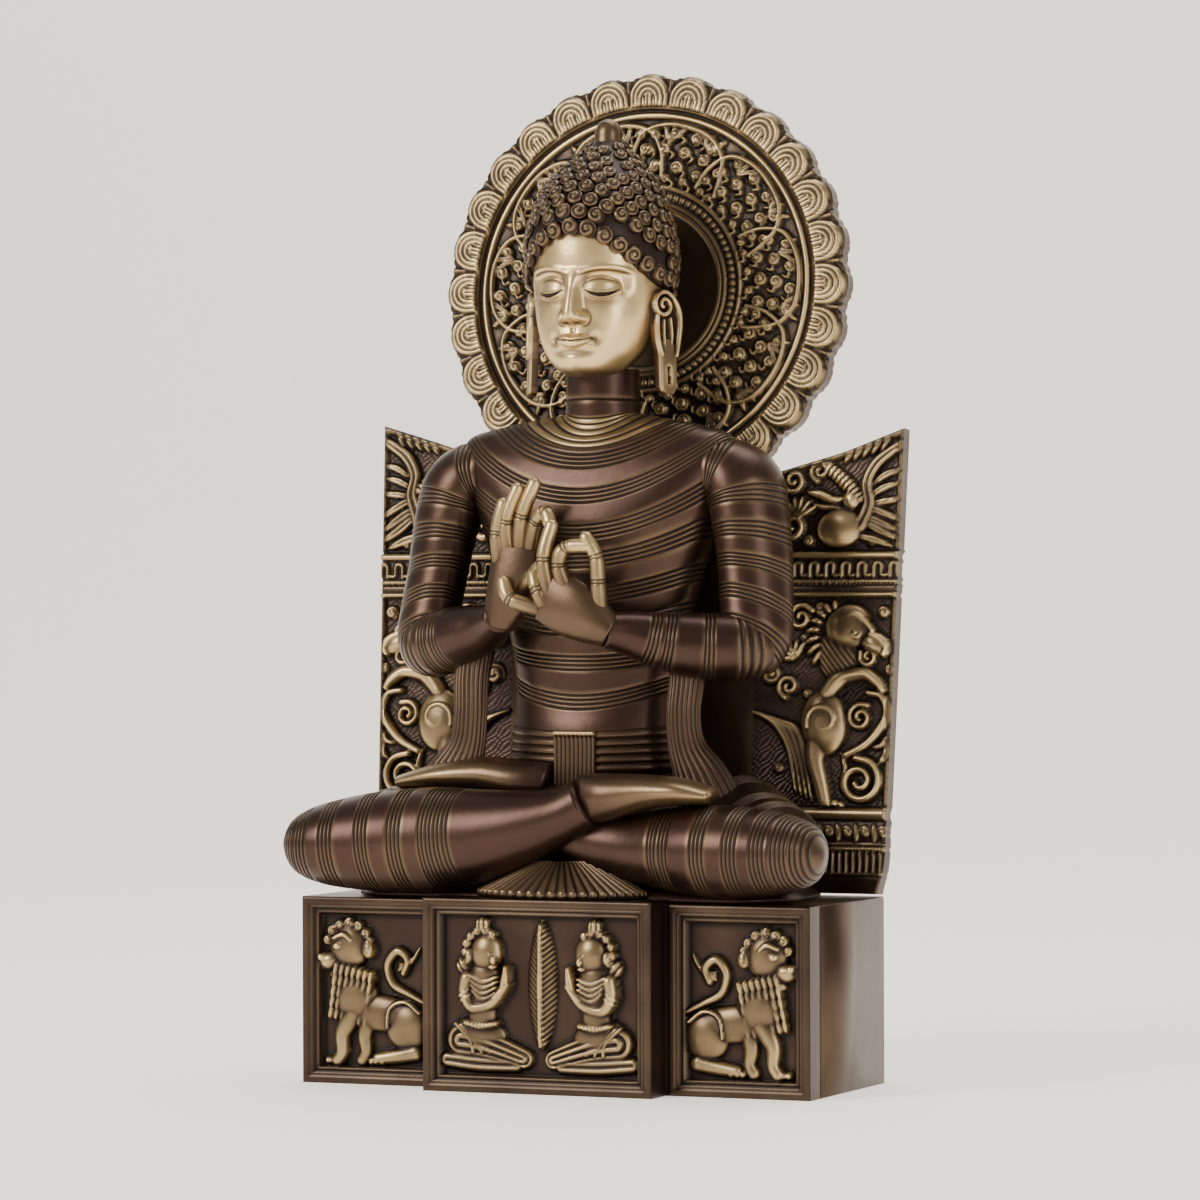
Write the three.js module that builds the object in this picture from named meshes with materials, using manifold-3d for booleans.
// A seated figure in a pleated robe on a stepped plinth, with a carved throne back and a round halo.
// Millimetres. +Z is up and the figure faces -Y. The origin is the centre of the plinth's underside.
import * as THREE from "three";
import { mergeVertices } from "three/addons/utils/BufferGeometryUtils.js";
import Module from "manifold-3d";

// Driving sizes
const GAP = 0.3;
const PLINTH = { width: 203.6, depth: 76, height: 69.6 };
const BLOCK = { width: 91.2, out: 13.8, rise: 1.4, tuck: 3 };
const PANEL = { frame: 4.2, recess: 5.5, lip: 2, lipHigh: 4.4 };
const BACK = { foot: 34.9, lean: 5.03, thick: 6, bottom: 101.5, waist: 104.3, top: 107.5, waistHigh: 14 };
const WING = { middle: 84, inner: 58, left: [178, 171, 163], right: [174.3, 165.6, 158.5] };
const RIM = { wide: 2.4, high: 1.4 };
const RAILS = [
  { low: 7, high: 32, out: 3.2 },
  { low: 111.5, high: 128.5, out: 3.2 },
];
const HALO = { rise: 229.3, thick: 6, petals: 28, tip: 83.2, notch: 80.8 };
const SEAT = { halfWidth: 86, front: -34, back: 28, top: 75 };
const HEAD = { y: 12 };
const CURL = { rows: 6, around: 12, high: 2.6, first: 1.05, last: 6.5 };
const BAND = { deep: 0.9 };
const FINGER = { base: 3.1, tip: 2.4, sides: 4 };

const wasm = await Module();
wasm.setup();

const vec = (x, y, z) => new THREE.Vector3(x, y, z);
const radians = THREE.MathUtils.degToRad;

// Smooth value of key rows [value, value, ...] at row number t
function keyed(rows, t) {
  const last = rows.length - 1;
  const at = Math.min(Math.floor(t), last - 1);
  const u = t - at;
  const pick = (index) => rows[Math.max(0, Math.min(last, index))];
  const [before, low, high, after] = [-1, 0, 1, 2].map((step) => pick(at + step));
  return low.map((value, k) => {
    const startSlope = (high[k] - before[k]) / 2;
    const endSlope = (after[k] - value) / 2;
    const rise = high[k] - value;
    const cubic = startSlope + endSlope - 2 * rise;
    const square = 3 * rise - 2 * startSlope - endSlope;
    return value + u * (startSlope + u * (square + u * cubic));
  });
}

// A closed skin over rings that all have the same number of points, with a pole at each end
function skin(rings) {
  const count = rings[0].length;
  const middle = (ring) => ring.reduce((sum, p) => sum.add(p), vec(0, 0, 0)).divideScalar(ring.length);
  const points = [...rings.flat(), middle(rings[0]), middle(rings[rings.length - 1])];
  const startPole = points.length - 2;
  const endPole = points.length - 1;
  const faces = [];
  for (let j = 0; j < count; j++) {
    const k = (j + 1) % count;
    faces.push(startPole, k, j);
    for (let i = 0; i + 1 < rings.length; i++) {
      const a = i * count;
      faces.push(a + j, a + k, a + count + k);
      faces.push(a + j, a + count + k, a + count + j);
    }
    const top = (rings.length - 1) * count;
    faces.push(endPole, top + j, top + k);
  }
  const geometry = new THREE.BufferGeometry();
  geometry.setAttribute("position", new THREE.Float32BufferAttribute(points.flatMap((p) => [p.x, p.y, p.z]), 3));
  geometry.setIndex(faces);
  return geometry;
}

// The same mesh with its faces turned outwards
function outward(solidMesh) {
  const { vertProperties, triVerts } = solidMesh;
  const corner = (i) => vec(...vertProperties.slice(3 * triVerts[i], 3 * triVerts[i] + 3));
  let volume = 0;
  for (let i = 0; i < triVerts.length; i += 3) volume += corner(i).dot(corner(i + 1).cross(corner(i + 2)));
  if (volume < 0) triVerts.reverse();
  return solidMesh;
}

// A solid for joining and cutting from any closed three.js geometry
function solid(geometry) {
  const bare = geometry.clone();
  Object.keys(bare.attributes).forEach((name) => name !== "position" && bare.deleteAttribute(name));
  const merged = mergeVertices(bare, 1e-4);
  const raw = {
    numProp: 3,
    vertProperties: new Float32Array(merged.attributes.position.array),
    triVerts: new Uint32Array(merged.index.array),
  };
  return new wasm.Manifold(new wasm.Mesh(outward(raw)));
}

const join = (geometries) => geometries.map(solid).reduce((all, next) => all.add(next));

function geometryOf(made) {
  const { vertProperties, triVerts } = made.getMesh();
  const geometry = new THREE.BufferGeometry();
  geometry.setAttribute("position", new THREE.BufferAttribute(vertProperties, 3));
  geometry.setIndex(new THREE.BufferAttribute(triVerts, 1));
  return geometry;
}

const box = (low, high) =>
  new THREE.BoxGeometry(high[0] - low[0], high[1] - low[1], high[2] - low[2]).translate(
    (low[0] + high[0]) / 2,
    (low[1] + high[1]) / 2,
    (low[2] + high[2]) / 2,
  );

// A rounded lump: a scaled icosahedron
function lump([x, y, z], [rx, ry, rz], turn = 0) {
  return new THREE.IcosahedronGeometry(1, 0).scale(rx, ry, rz).rotateZ(radians(turn)).translate(x, y, z);
}

// Rows at which a limb is cut: evenly spaced rows, and a lap of the robe, two rows, at each band
function rows(last, plain, bands = [], half = 0.08) {
  const even = Array.from({ length: plain + 1 }, (_, i) => ({ t: (last * i) / plain, dip: 0 }));
  const clear = even.filter(({ t }) => bands.every((band) => Math.abs(band - t) > half * 2.5));
  const laps = bands.flatMap((band) => [
    { t: band - half, dip: 0 },
    { t: band + half, dip: BAND.deep },
  ]);
  return [...clear, ...laps].sort((p, q) => p.t - q.t);
}

// A limb through keys [x, y, z, half width, half height]; side is the direction of the half width
function limb(keys, side, sides, cuts = rows(keys.length - 1, keys.length - 1)) {
  const step = 0.02;
  const last = keys.length - 1;
  const rings = cuts.map(({ t, dip }) => {
    const [x, y, z, wide, high] = keyed(keys, t);
    const ahead = vec(...keyed(keys, Math.min(t + step, last)));
    const along = ahead.sub(vec(...keyed(keys, Math.max(t - step, 0)))).normalize();
    const across = side.clone().addScaledVector(along, -side.dot(along)).normalize();
    const up = along.clone().cross(across);
    return Array.from({ length: sides }, (_, j) => {
      const angle = (2 * Math.PI * j) / sides;
      return vec(x, y, z)
        .addScaledVector(across, (wide - dip) * Math.cos(angle))
        .addScaledVector(up, (high - dip) * Math.sin(angle));
    });
  });
  return skin(rings);
}

// A rod of a few sides through plain points, thinning from one radius to the other
function rod(points, startRadius, endRadius, sides, side = vec(1, 0.2, 0.1)) {
  const last = points.length - 1;
  const keys = points.map((p, i) => {
    const radius = startRadius + ((endRadius - startRadius) * i) / last;
    return [...p, radius, radius];
  });
  return limb(keys, side, sides);
}

const mirrorX = (keys) => keys.map(([x, ...rest]) => [-x, ...rest]);

// One level ring of the body: its height differs at the front, the sides and the back
function bodyRing([front, flank, rear, wide, fore, aft, middle], sides, dip = 0) {
  const dipAt = typeof dip === "function" ? dip : () => dip;
  return Array.from({ length: sides }, (_, j) => {
    const angle = (2 * Math.PI * j) / sides;
    const facing = Math.cos(angle) > 0;
    const end = facing ? front : rear;
    const reach = (facing ? fore : aft) - dipAt(j);
    const z = end + (flank - end) * Math.sin(angle) ** 2;
    return vec((wide - dipAt(j)) * Math.sin(angle), middle - reach * Math.cos(angle), z);
  });
}

const bodyLoft = (keys, sides, cuts) => skin(cuts.map(({ t, dip }) => bodyRing(keyed(keys, t), sides, dip)));

// Torso keys: front, side and back height, half width, reach forwards, reach back, middle
const TORSO = [
  [72, 72, 72, 42, 22, 18, 10],
  [100, 100, 100, 38, 23, 20, 9],
  [116, 117, 117, 35.5, 22.5, 20, 8],
  [131, 133, 133, 33.5, 22, 19.5, 7.5],
  [141, 149, 147, 33, 20.5, 19.5, 8],
  [158, 162, 160, 34.5, 20.5, 20, 8],
  [172, 179, 175, 38.5, 21, 20.5, 8],
  [190, 201, 193, 45, 22, 21, 8],
  [205, 224, 212, 52, 22.5, 21, 8],
  [216, 239.5, 226, 54, 21.5, 20, 8.5],
  [229, 244.5, 239, 42, 19, 16, 9.5],
  [238, 247.5, 245.5, 27, 16, 12, 10.5],
  [243, 249.5, 249, 15.5, 13.5, 12, 11.5],
  [252, 252, 252, 14, 13.8, 13, 12],
  [266, 266, 266, 13.8, 13.8, 13.5, 12],
];
const TORSO_BANDS = [4.4, 6, 7.6, 9.2];
const BELT = { low: 117.5, high: 130.5, bars: 3, proud: 0.9 };

// The belt's bars, as rows of the torso that stand proud in turn
function beltRows() {
  const step = (BELT.high - BELT.low) / BELT.bars;
  const keyOf = (z) => 2 + (z - TORSO[2][0]) / (TORSO[3][0] - TORSO[2][0]);
  return Array.from({ length: BELT.bars }, (_, i) => [
    { t: keyOf(BELT.low + step * i), dip: BELT.proud * 0.4 },
    { t: keyOf(BELT.low + step * (i + 0.5)), dip: -BELT.proud },
  ]).flat();
}

function torso() {
  const plain = rows(TORSO.length - 1, 6, TORSO_BANDS, 0.12).filter(({ t }) => t < 1.9 || t > 3.1);
  const cuts = [...plain, ...beltRows()].sort((p, q) => p.t - q.t);
  const tab = box([-8.6, -16.6, 112], [8.6, -8, 131.5]);
  return [bodyLoft(TORSO, 14, cuts), tab];
}

// Upper arm keys, right side of the frame; the section is long from inner front to outer back
const UPPER_ARM = [
  [30, 10, 221, 10, 10],
  [45, 10, 228, 13, 12],
  [57.4, 8.5, 223, 15.5, 13.2],
  [62.2, 6, 208, 15, 12],
  [64.5, 4, 192, 14.5, 11],
  [66.2, 1, 177, 14, 11],
  [66.5, -1.5, 165, 13.5, 11.2],
  [64, -3, 155.5, 9, 8],
];
const UPPER_ARM_BANDS = [2.2, 3.2, 4.2, 5.2];
const FOREARM_LEFT = [
  [67, 1, 164, 11, 11],
  [62, -6, 162.5, 12.5, 12.5],
  [50, -12, 163, 12, 12.5],
  [37, -18, 164.5, 10.5, 11],
  [27, -24, 167.5, 8, 8.5],
  [19, -30, 169, 6.6, 6.6],
];
const FOREARM_RIGHT = [
  [-67, 1, 164, 11, 11],
  [-62, -5, 163.5, 12.5, 12.5],
  [-52, -10, 165.5, 12, 12],
  [-42, -15, 168, 10.5, 10.5],
  [-33, -20, 170.5, 8, 8.5],
  [-25, -26, 174, 6.6, 6],
];

function arm(upper, side, fore, foreBands) {
  const upperCuts = rows(upper.length - 1, 6, UPPER_ARM_BANDS, 0.12);
  const foreCuts = rows(fore.length - 1, 4, foreBands, 0.12);
  return [limb(upper, side, 9, upperCuts), limb(fore, vec(0.4, -1, 0), 7, foreCuts)];
}

// Fingers as rods through their joints
const RIGHT_FINGERS = [
  [[-24.8, -26.5, 194], [-25.6, -27.5, 205], [-23.1, -27.5, 215.6]],
  [[-21.3, -26.5, 197], [-21.8, -27.8, 209], [-17.4, -27.5, 221]],
  [[-16.8, -26.5, 198], [-15.4, -27.8, 211], [-10.5, -27.5, 223]],
  [[-12.8, -26.5, 199], [-9.6, -28, 209], [-5, -30, 212.5], [-2.2, -32, 208]],
  [[-15, -28, 184], [-9, -31, 190], [-4, -32.5, 194]],
];
const LEFT_FINGERS = [
  [[-5, -33, 176.5], [-17, -34.5, 180.5], [-20.6, -33, 187]],
  [[-3.2, -34, 178], [-6.2, -35, 184], [-8.4, -33.5, 189.5]],
  [[-1.5, -34, 182], [-3.6, -35, 195], [-0.9, -33.5, 207.5]],
  [[5, -33.5, 184], [2.4, -34.8, 193], [5.2, -34.8, 199.2], [15, -34, 200]],
  [[17.6, -31.5, 172], [17.4, -33, 187], [16.8, -33.5, 196], [13, -34, 203]],
];
const RIGHT_PALM = [
  [-26, -25, 171, 6.2, 6],
  [-22, -26.5, 181, 8.8, 5],
  [-19, -27, 191, 9.8, 4],
  [-18, -27, 199.5, 9, 3],
];
const LEFT_PALM = [
  [21, -29.5, 168.5, 6.4, 6.4],
  [14, -31.5, 172.5, 9, 6],
  [5.5, -33, 177.5, 11, 5],
  [-3, -33.5, 182, 10, 3.6],
];

const finger = (points) => rod(points, FINGER.base, FINGER.tip, FINGER.sides);

const hands = () => [
  limb(RIGHT_PALM, vec(1, 0, -0.1), 6),
  limb(LEFT_PALM, vec(0.55, 0, 0.83), 6),
  ...RIGHT_FINGERS.map(finger),
  ...LEFT_FINGERS.map(finger),
];

// Thigh keys, from the hip to the knee
const THIGH = [
  [14, 16, 92, 11, 18],
  [36, 8, 95, 19, 23],
  [56, 0, 94.5, 21, 22.5],
  [72, -12, 91.5, 20, 19],
  [86, -25, 89, 17, 16.5],
];
// Shin keys, from the tip of the knee across the front to the ankle, and on to the foot
const SHIN_RIGHT = [
  [-109.5, -37, 89, 1.5, 1.5],
  [-105, -36.5, 89, 10.5, 9.5],
  [-97, -35.5, 89, 16, 14],
  [-84, -34, 89.5, 18.5, 17],
  [-68, -32.5, 90.5, 19.5, 18.8],
  [-48, -32, 91.5, 18.5, 19.3],
  [-30, -33.5, 93, 16, 17.5],
  [-12, -35.5, 96.5, 13.5, 14],
  [4, -36.5, 101, 10.5, 10.5],
  [14, -36.5, 106, 9, 9.5],
];
const SHIN_LEFT = [
  [107, -37, 88.5, 1.5, 1.5],
  [103, -36.5, 88.5, 10.5, 9.5],
  [95, -35, 88.5, 15.5, 13.5],
  [82, -33, 88.5, 18, 16],
  [66, -31, 88.8, 19, 17],
  [46, -28.5, 89, 17.5, 15.5],
  [28, -27, 89.5, 14, 13],
  [8, -25, 93, 12, 11.5],
  [-10, -19, 103, 10, 10],
];
const SHIN_RIGHT_BANDS = [1.9, 2.8, 3.7, 4.9];
const SHIN_LEFT_BANDS = [1.6, 2.7, 4.2];
const FOOT_RIGHT = [
  [13, -36.5, 107, 6, 9.5],
  [22, -36, 108.2, 9, 8.8],
  [36, -35, 110, 9.5, 6.6],
  [50, -34, 110.5, 11, 5],
  [62, -32, 109, 9.5, 3],
];
const FOOT_LEFT = [
  [-10, -16, 111, 6, 8.5],
  [-21, -16, 112.5, 9, 8],
  [-36, -15, 115, 10, 6.8],
  [-54, -14, 114.5, 11, 5],
  [-70, -13, 112, 9.5, 3],
];

function legs() {
  const forward = vec(0.2, -1, 0);
  return [
    limb(THIGH, forward, 7),
    limb(mirrorX(THIGH), forward, 7),
    limb(SHIN_RIGHT, vec(0, -1, 0), 9, rows(9, 7, SHIN_RIGHT_BANDS, 0.08)),
    limb(SHIN_LEFT, vec(0, -1, 0), 9, rows(8, 6, SHIN_LEFT_BANDS, 0.08)),
    limb(FOOT_RIGHT, vec(0, -1, 0), 8),
    limb(FOOT_LEFT, vec(0, -1, 0), 8),
  ];
}

// The seat pad under the legs and the fan of pleats that lies in front of them
function seat() {
  const slope = 5;
  const corner = 14;
  const outline = (grow, z) => {
    const wide = SEAT.halfWidth + grow;
    const front = SEAT.front - grow;
    const back = SEAT.back;
    return [
      vec(-wide, front + corner, z), vec(-wide + corner, front, z),
      vec(wide - corner, front, z), vec(wide, front + corner, z),
      vec(wide, back - corner, z), vec(wide - corner * 2, back, z),
      vec(-wide + corner * 2, back, z), vec(-wide, back - corner, z),
    ];
  };
  return skin([outline(0, PLINTH.height - 1), outline(0, PLINTH.height + 2), outline(-slope, SEAT.top)]);
}

function fan() {
  const pleats = 9;
  const reach = 34;
  const centre = vec(3, -33, PLINTH.height);
  const hem = (scale, z) => {
    const ring = Array.from({ length: 2 * pleats + 1 }, (_, j) => {
      const angle = Math.PI * (1 + j / (2 * pleats));
      const radius = reach * scale * (j % 2 ? 0.94 : 1);
      return vec(centre.x + radius * Math.cos(angle), centre.y + 0.5 * radius * Math.sin(angle), z);
    });
    ring.push(vec(centre.x, centre.y + 4, z));
    return ring;
  };
  return skin([hem(1, PLINTH.height - 1), hem(1, PLINTH.height + 4.2), hem(0.35, PLINTH.height + 15)]);
}

// Sleeve drapes that fall from the forearms to the thighs
const DRAPE = [
  [43, -8, 162, 7, 7],
  [43.5, -12, 150, 7, 4.5],
  [43, -14, 138, 6.8, 4],
  [44.5, -14, 126, 7.5, 4.5],
  [50, -14, 114, 11, 6],
  [54, -14, 104, 13, 7],
];
const drapes = () => [limb(DRAPE, vec(1, 0, 0), 6), limb(mirrorX(DRAPE), vec(1, 0, 0), 6)];

// Head keys, as the torso's
const SKULL = [
  [262.5, 263, 268, 7, 12, 6, 3],
  [265.5, 266, 268, 13, 17, 12, 3.5],
  [273, 273, 274, 19, 20.5, 16, 5.5],
  [284, 284, 284, 22.8, 23.5, 20, 8.5],
  [297, 297, 297, 25.2, 26.8, 25, 11],
  [310, 310, 310, 25.8, 28, 27, 12],
  [322, 322, 322, 24.5, 26.5, 26, 12],
  [331, 331, 331, 20, 21.5, 21.5, 12.5],
];
// Hair keys: the cap starts at the hairline, rises into the topknot and ends in a plain knob
const HAIR = [
  [315, 296, 271, 24, 26, 12.5, HEAD.y],
  [316, 297, 273, 27.6, 29.2, 15.5, HEAD.y],
  [322, 311, 290, 28, 29.5, 26, HEAD.y],
  [330, 327, 318, 24.2, 25.5, 26.5, 12.5],
  [337, 337, 334, 19, 20.5, 21, 14],
  [343.5, 343.5, 343, 13, 14, 14, 15.5],
  [348.5, 348.5, 348.5, 8.6, 9, 9, 17],
  [353, 353, 353, 4.6, 4.6, 4.6, 18],
];
const KNOB = [
  [346, 346, 346, 7, 7, 7, 17],
  [352, 352, 352, 5.4, 5.4, 5.4, 17.8],
  [356, 356, 356, 5, 5, 5, 18],
  [359, 359, 359, 3.4, 3.4, 3.4, 18],
  [360.3, 360.3, 360.3, 1, 1, 1, 18],
];

// The curls: every other row has a row of peaks, which shift by one place from row to row
function curlRows() {
  const count = 2 * CURL.rows;
  return Array.from({ length: count + 1 }, (_, i) => {
    const t = CURL.first + ((CURL.last - CURL.first) * i) / count;
    const high = CURL.high * (1 - (0.35 * i) / count);
    const shift = (i - 1) / 2;
    return { t, dip: (j) => (i % 2 && (j + shift) % 2 ? -high : 0) };
  });
}

function hair() {
  const cap = bodyLoft(HAIR, 2 * CURL.around, [{ t: 0, dip: 0 }, ...curlRows()]);
  return [cap, bodyLoft(KNOB, 8, rows(4, 4))];
}

function face() {
  const nose = limb([[0, -15, 303, 1.6, 1.6], [0, -18.5, 294, 2, 2.4], [0, -21, 285.5, 4, 3.4]], vec(1, 0, 0), 6);
  const lips = lump([0, -15.6, 277.2], [6.6, 2.6, 2.8]);
  const chin = lump([0, -13, 268], [5.5, 3.6, 4]);
  const eyes = [-10, 10].map((x) => lump([x, -13, 297.5], [6, 4, 2.8]));
  return [nose, lips, chin, ...eyes];
}

// One long ear: a spiral top over a long lobe
function ear(side) {
  const at = (x, y, z) => [side * x, y, z];
  const lobe = limb(
    [[...at(26, 8, 293), 4.6, 2], [...at(28.2, 10, 282), 5, 1.8], [...at(28.8, 8, 258), 4, 1.8]],
    vec(side * 0.45, 0.9, 0),
    5,
  );
  return [lobe, lump(at(26.5, 7.5, 292), [4.6, 5.4, 6])];
}

// The space of the plinth's top, with the gap above it, which the figure keeps clear of
function plinthClearance() {
  const high = PLINTH.height + GAP;
  const blockHalf = BLOCK.width / 2 + GAP;
  const blockBack = -PLINTH.depth / 2 + BLOCK.tuck + GAP;
  return [
    box([-150, -100, 40], [150, 100, high]),
    box([-blockHalf, -100, 40], [blockHalf, blockBack, high + BLOCK.rise]),
  ];
}

function figure() {
  const right = arm(mirrorX(UPPER_ARM), vec(0.7, -0.7, 0), FOREARM_RIGHT, [1.8, 2.6]);
  const left = arm(UPPER_ARM, vec(-0.7, -0.7, 0), FOREARM_LEFT, [1.8, 2.8]);
  const body = [...torso(), ...right, ...left, ...hands(), ...legs(), seat(), fan(), ...drapes()];
  const head = [bodyLoft(SKULL, 12, rows(7, 6)), ...face(), ...hair(), ...ear(1), ...ear(-1)];
  return join([...body, ...head]).subtract(join(plinthClearance()));
}

// A scroll: a ridge that winds inwards over a number of turns, in the plane of a plate
function scroll([x, y, z], radius, turns, start, thick, hand = 1) {
  const steps = Math.ceil(turns * 6);
  const points = Array.from({ length: steps + 1 }, (_, i) => {
    const u = i / steps;
    const angle = radians(start) + hand * 2 * Math.PI * turns * u;
    const r = radius * (1 - 0.75 * u);
    return [x + r * Math.cos(angle), y + r * Math.sin(angle), z];
  });
  return rod(points, thick, thick * 0.7, 3, vec(0, 0, 1));
}

// Moves a shape made in the leaning plane (x across, y up the plate, z out of its front) to its place
function onBack(made, rise = 0) {
  const lean = radians(BACK.lean);
  const up = vec(0, Math.sin(lean), Math.cos(lean));
  const out = vec(0, -Math.cos(lean), Math.sin(lean));
  const foot = vec(0, BACK.foot, PLINTH.height).addScaledVector(up, rise);
  const place = new THREE.Matrix4().makeBasis(vec(1, 0, 0), up, out).setPosition(foot);
  return geometryOf(made).applyMatrix4(place);
}

// A disc from profile rows [radius, height, drop]: every other point of a row drops in and down, which
// makes the petals. The turn counts in segments.
function disc(profile, segments, turn = 0) {
  const rings = profile.map(([radius, height, inwards = 0, down = 0]) =>
    Array.from({ length: segments }, (_, j) => {
      const angle = (2 * Math.PI * (j + turn)) / segments;
      const between = j % 2;
      const reach = radius - between * inwards;
      return vec(reach * Math.sin(angle), reach * Math.cos(angle), height - between * down);
    }),
  );
  return skin(rings);
}

function haloDisc() {
  const front = HALO.thick;
  const { tip, notch } = HALO;
  const petals = [
    [tip, 0, tip - notch],
    [tip, front - 1.6, tip - notch],
    [76.5, front + 0.8, 0, 2],
    [68, front - 2],
  ];
  const field = [
    [71, 0.5], [70.6, front + 0.8], [67.6, front - 0.8], [65.6, front + 0.8], [64, front - 1.6],
    [40, front - 1.6], [38, front + 0.4], [31.5, front + 0.4], [29.5, front - 2.6],
  ];
  return [disc(petals, HALO.petals * 2), disc(field, HALO.petals, 0.25)];
}

function halo() {
  const leaves = 6;
  const vine = HALO.thick - 1.6;
  const clusters = Array.from({ length: 2 * leaves }, (_, k) => {
    const angle = (Math.PI * k) / leaves;
    const radius = k % 2 ? 56.5 : 47.5;
    const spot = [radius * Math.sin(angle), radius * Math.cos(angle), vine];
    return lump(spot, [11, 7.4, 2.2], THREE.MathUtils.radToDeg(-angle));
  });
  const made = join([...haloDisc(), ...clusters]);
  return onBack(made.translate([0, 0, -HALO.thick / 2]), HALO.rise);
}

// The throne back's outline: both wings rise from a low middle to a high corner
function backOutline(inset) {
  const outline = new THREE.Shape();
  const { bottom, waist, top, waistHigh } = BACK;
  const steep = 1.3;
  const foot = inset - 2;
  const corners = (side, [corner, middle, inner]) => [
    [side * (top - inset), corner - inset * steep],
    [side * WING.middle, middle - inset],
    [side * WING.inner, inner - inset],
  ];
  const wings = [...corners(1, WING.right), ...corners(-1, WING.left).reverse()];
  outline.moveTo(inset - bottom, foot);
  outline.lineTo(bottom - inset, foot);
  outline.quadraticCurveTo(waist - inset, 3, waist - inset, waistHigh);
  wings.forEach(([x, y]) => outline.lineTo(x, y));
  outline.lineTo(inset - waist, waistHigh);
  outline.quadraticCurveTo(inset - waist, 3, inset - bottom, foot);
  return outline;
}

function plate(shape, low, high) {
  const settings = { depth: high - low, bevelEnabled: false, curveSegments: 3 };
  return new THREE.ExtrudeGeometry(shape, settings).translate(0, 0, low);
}

// The bird, the beast and the scrolls of one wing, on the right side of the frame
function wingRelief(front) {
  const up = (x, y, deep = 0) => [x, y, front + deep];
  const ridge = (points, from, to) => rod(points, from, to, 3, vec(0, 0, 1));
  const bird = [
    lump(up(83, 137), [8.5, 7, 3.6]),
    ridge([up(91, 138), up(95, 148), up(94, 157), up(99, 163), up(105, 167)], 3, 2),
    lump(up(84, 153), [7, 3.2, 2.4], -38),
  ];
  const beast = [
    lump(up(88, 100), [9.5, 8.5, 4.4]),
    lump(up(97, 92), [6.5, 4, 3.4], -35),
    lump(up(81, 86), [7.5, 9.5, 3.2], 20),
    ridge([up(79, 74), up(87, 81), up(95, 82), up(101, 77)], 3.8, 2.4),
    lump(up(79, 65), [9.5, 11, 4.2]),
    ridge([up(77, 60), up(76.5, 50), up(79, 41), up(82, 34)], 5, 2.6),
  ];
  const scrolls = [
    scroll(up(97, 67), 7.5, 1, 250, 1.8),
    scroll(up(94, 43), 9, 1, 170, 1.9, -1),
    ridge([up(57, 66), up(66, 56), up(72, 38)], 3.4, 1.8),
  ];
  return [...bird, ...beast, ...scrolls];
}

function throneBack() {
  const half = BACK.thick / 2;
  const slab = solid(plate(backOutline(0), -half, half));
  const ridge = solid(plate(backOutline(0), half - 1, half + RIM.high));
  const hollow = solid(plate(backOutline(RIM.wide), half - 2, half + RIM.high + 1));
  const edge = (grow) => BACK.waist + grow;
  const rails = RAILS.map(({ low, high, out }, k) => {
    const wide = edge(k ? 2 : 0.4);
    const lip = 3;
    return [
      box([-wide, low, 0], [wide, high, half + out - 1.6]),
      box([-wide - 0.6, high - lip, 0], [wide + 0.6, high, half + out]),
      box([-wide - 0.6, low, 0], [wide + 0.6, low + lip, half + out]),
    ];
  });
  const right = wingRelief(half);
  const mirror = right.map((shape) => shape.clone().scale(-1, 1, 1));
  const opening = new THREE.CylinderGeometry(HALO.tip + GAP, HALO.tip + GAP, 40, 56).rotateX(Math.PI / 2);
  const clear = solid(opening.translate(0, HALO.rise, 0));
  const made = slab.add(ridge.subtract(hollow)).add(join([...rails.flat(), ...right, ...mirror])).subtract(clear);
  const under = solid(box([-150, -50, 0], [150, 150, PLINTH.height + GAP]));
  return geometryOf(solid(onBack(made)).subtract(under));
}

// Relief pieces that stand on a panel's floor: x across, z up, hand mirrors them about x0
function relief(x0, floor, hand) {
  const at = ([x, z, out = 0]) => [x0 + hand * x, floor - out, z];
  const ball = (x, z, [rx, rz, out], turn = 0) =>
    new THREE.IcosahedronGeometry(1, 0).scale(rx, out, rz).rotateY(radians(hand * turn)).translate(...at([x, z]));
  const bar = (points, from, to) => rod(points.map(at), from, to, 4, vec(0, 1, 0));
  return { ball, bar };
}

// One seated lion in profile, looking along +x
function lion(x0, floor, hand) {
  const { ball, bar } = relief(x0, floor, hand);
  return [
    ball(-13.5, 21.5, [9.5, 9.5, 4.6]),
    ball(-2.5, 25, [14, 7, 4.4], -12),
    ball(7, 33, [10, 9.5, 5.2], 20),
    ball(10, 50.5, [8.5, 9.5, 5.2]),
    ball(18, 45.5, [4.6, 3.8, 4.6]),
    bar([[9, 25, 0.6], [12, 16, 0.6], [14, 7, 0.6]], 4, 3),
    bar([[-18, 11, 0.6], [-9, 10.5, 0.6], [-1, 8.5, 0.6]], 3.2, 2.6),
    bar([[-20, 30], [-13, 34], [-6.5, 40], [-7.5, 48], [-13, 47]], 2, 3.2),
  ];
}

// One kneeling worshipper in profile, looking along +x, with joined hands
function worshipper(x0, floor, hand) {
  const { ball, bar } = relief(x0, floor, hand);
  return [
    bar([[0, 45], [-0.5, 38], [-0.5, 30], [-1, 22]], 3.6, 6.5),
    ball(1, 52, [6.8, 7.6, 5.2]),
    ball(-0.5, 60.5, [2.6, 3, 3]),
    ball(-8, 46, [3.4, 4.4, 3.4]),
    ball(-3.5, 20.5, [9.5, 6, 4.8]),
    bar([[-6, 20, 0.5], [5, 17, 0.8], [16, 12, 0.5]], 4.4, 3.2),
    bar([[-17, 10.5], [-3, 11], [13, 10.5]], 2.6, 4),
    bar([[-7, 38, 1], [-3, 31, 2.6], [4.5, 33, 2.6], [9.5, 41, 1.4]], 2.8, 2.2),
  ];
}

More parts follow.
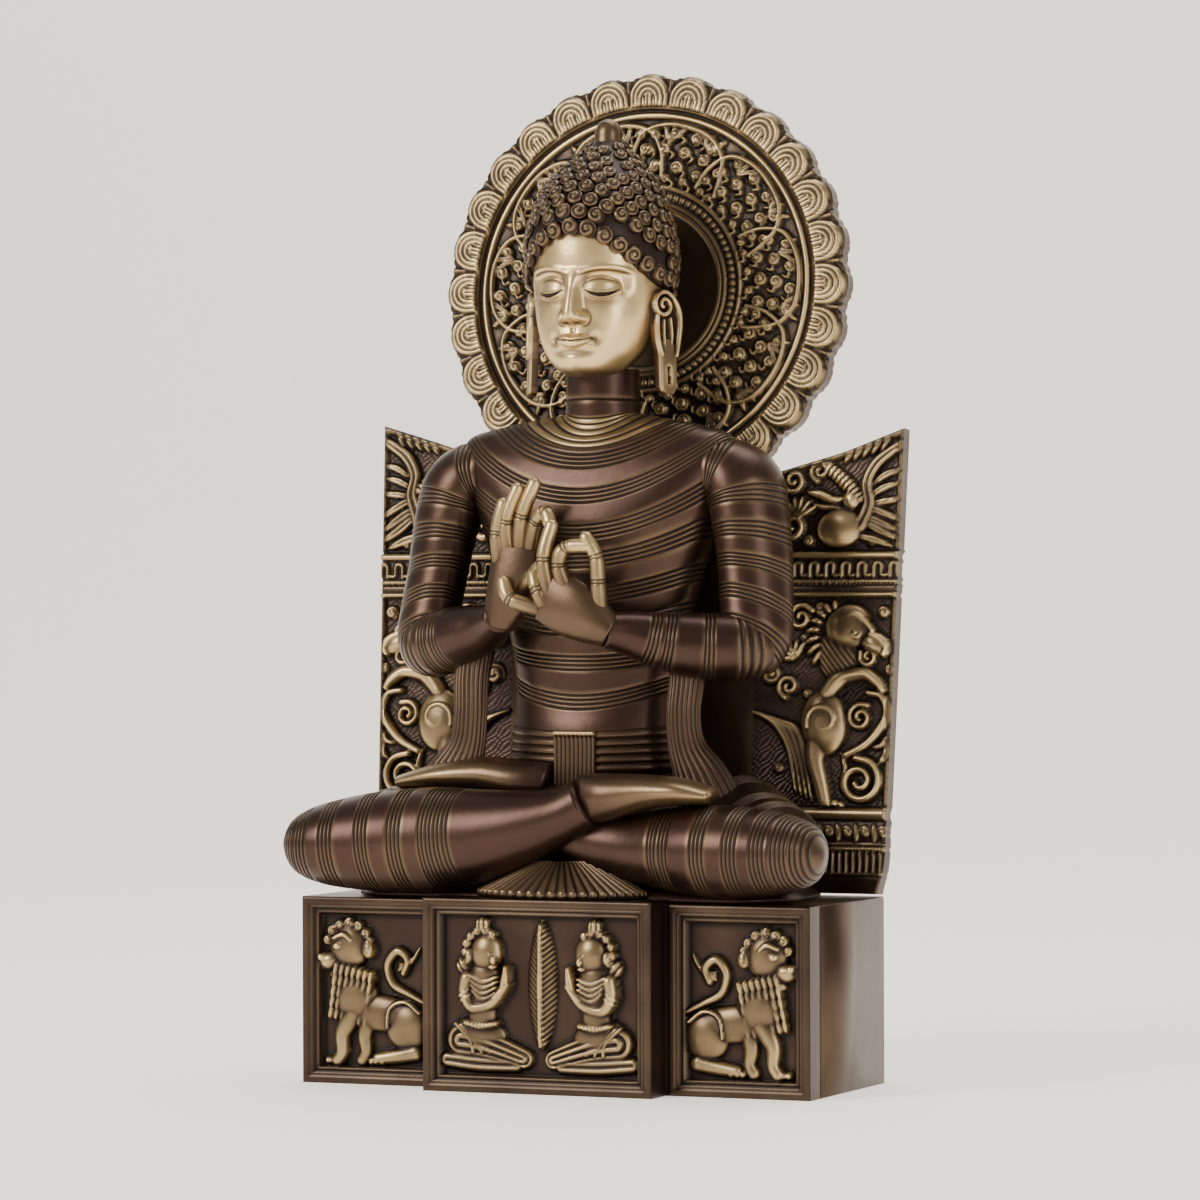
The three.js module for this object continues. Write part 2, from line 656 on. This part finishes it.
// The wheel, seen edge on: a tall spindle with a ridge
function wheel(floor, z0) {
  const high = 22.5;
  const wide = 6;
  const spindle = [[-high, 0.5], [-high * 0.6, wide * 0.55], [0, wide], [high * 0.6, wide * 0.55], [high, 0.5]];
  return skin(
    spindle.map(([z, half]) => [
      vec(-half, floor + 1, z0 + z),
      vec(-half, floor - half * 0.25, z0 + z),
      vec(0, floor - half * 0.85, z0 + z),
      vec(half, floor - half * 0.25, z0 + z),
      vec(half, floor + 1, z0 + z),
    ]),
  );
}

function plinth() {
  const { width, depth, height } = PLINTH;
  const front = -depth / 2;
  const blockFront = front - BLOCK.out;
  const blockHalf = BLOCK.width / 2;
  const body = box([-width / 2, front, 0], [width / 2, depth / 2, height]);
  const block = box([-blockHalf, blockFront, 0], [blockHalf, front + BLOCK.tuck, height + BLOCK.rise]);
  const inner = blockHalf + 1;
  const outer = width / 2;
  const panels = [
    [-blockHalf, blockHalf, blockFront],
    [-outer, -inner, front],
    [inner, outer, front],
  ];
  const edge = PANEL.frame;
  const cut = ([low, high, face], inset, deep) =>
    box([low + inset, face - 5, inset], [high - inset, face + deep, height - inset]);
  const recesses = panels.map((panel) => cut(panel, edge, PANEL.recess));
  const lips = panels.map((panel) => {
    const [low, high, face] = panel;
    const ring = box(
      [low + edge - 0.2, face + PANEL.recess - PANEL.lipHigh, edge - 0.2],
      [high - edge + 0.2, face + PANEL.recess + 0.5, height - edge + 0.2],
    );
    return solid(ring).subtract(solid(cut(panel, edge + PANEL.lip, PANEL.recess)));
  });
  const blockFloor = blockFront + PANEL.recess;
  const wingFloor = front + PANEL.recess;
  const lionSpot = 74;
  const carved = [
    ...lion(lionSpot, wingFloor, 1),
    ...lion(-lionSpot, wingFloor, -1),
    ...worshipper(-21.5, blockFloor, 1),
    ...worshipper(21, blockFloor, -1),
    wheel(blockFloor, 39.5).translate(0.5, 0, 0),
  ];
  const framed = lips.reduce((all, lip) => all.add(lip), join([body, block]).subtract(join(recesses)));
  return geometryOf(framed.add(join(carved)));
}

// Finishes
const finish = (color, roughness, metalness) => new THREE.MeshStandardMaterial({ color, roughness, metalness });
const robeBrown = finish(0x4a2a1c, 0.38, 0.85);
const plinthBrown = finish(0x3f261a, 0.42, 0.85);
const carvedBrass = finish(0x8a6b3c, 0.36, 0.9);
const haloBrass = finish(0x9c7d49, 0.34, 0.9);

function part(name, geometry, material) {
  const mesh = new THREE.Mesh(geometry, material);
  mesh.name = name;
  return mesh;
}

const buddha = new THREE.Group();
buddha.add(part("plinth", plinth(), plinthBrown));
buddha.add(part("throne_back", throneBack(), carvedBrass));
buddha.add(part("halo", halo(), haloBrass));
buddha.add(part("figure", geometryOf(figure()), robeBrown));

export default buddha;
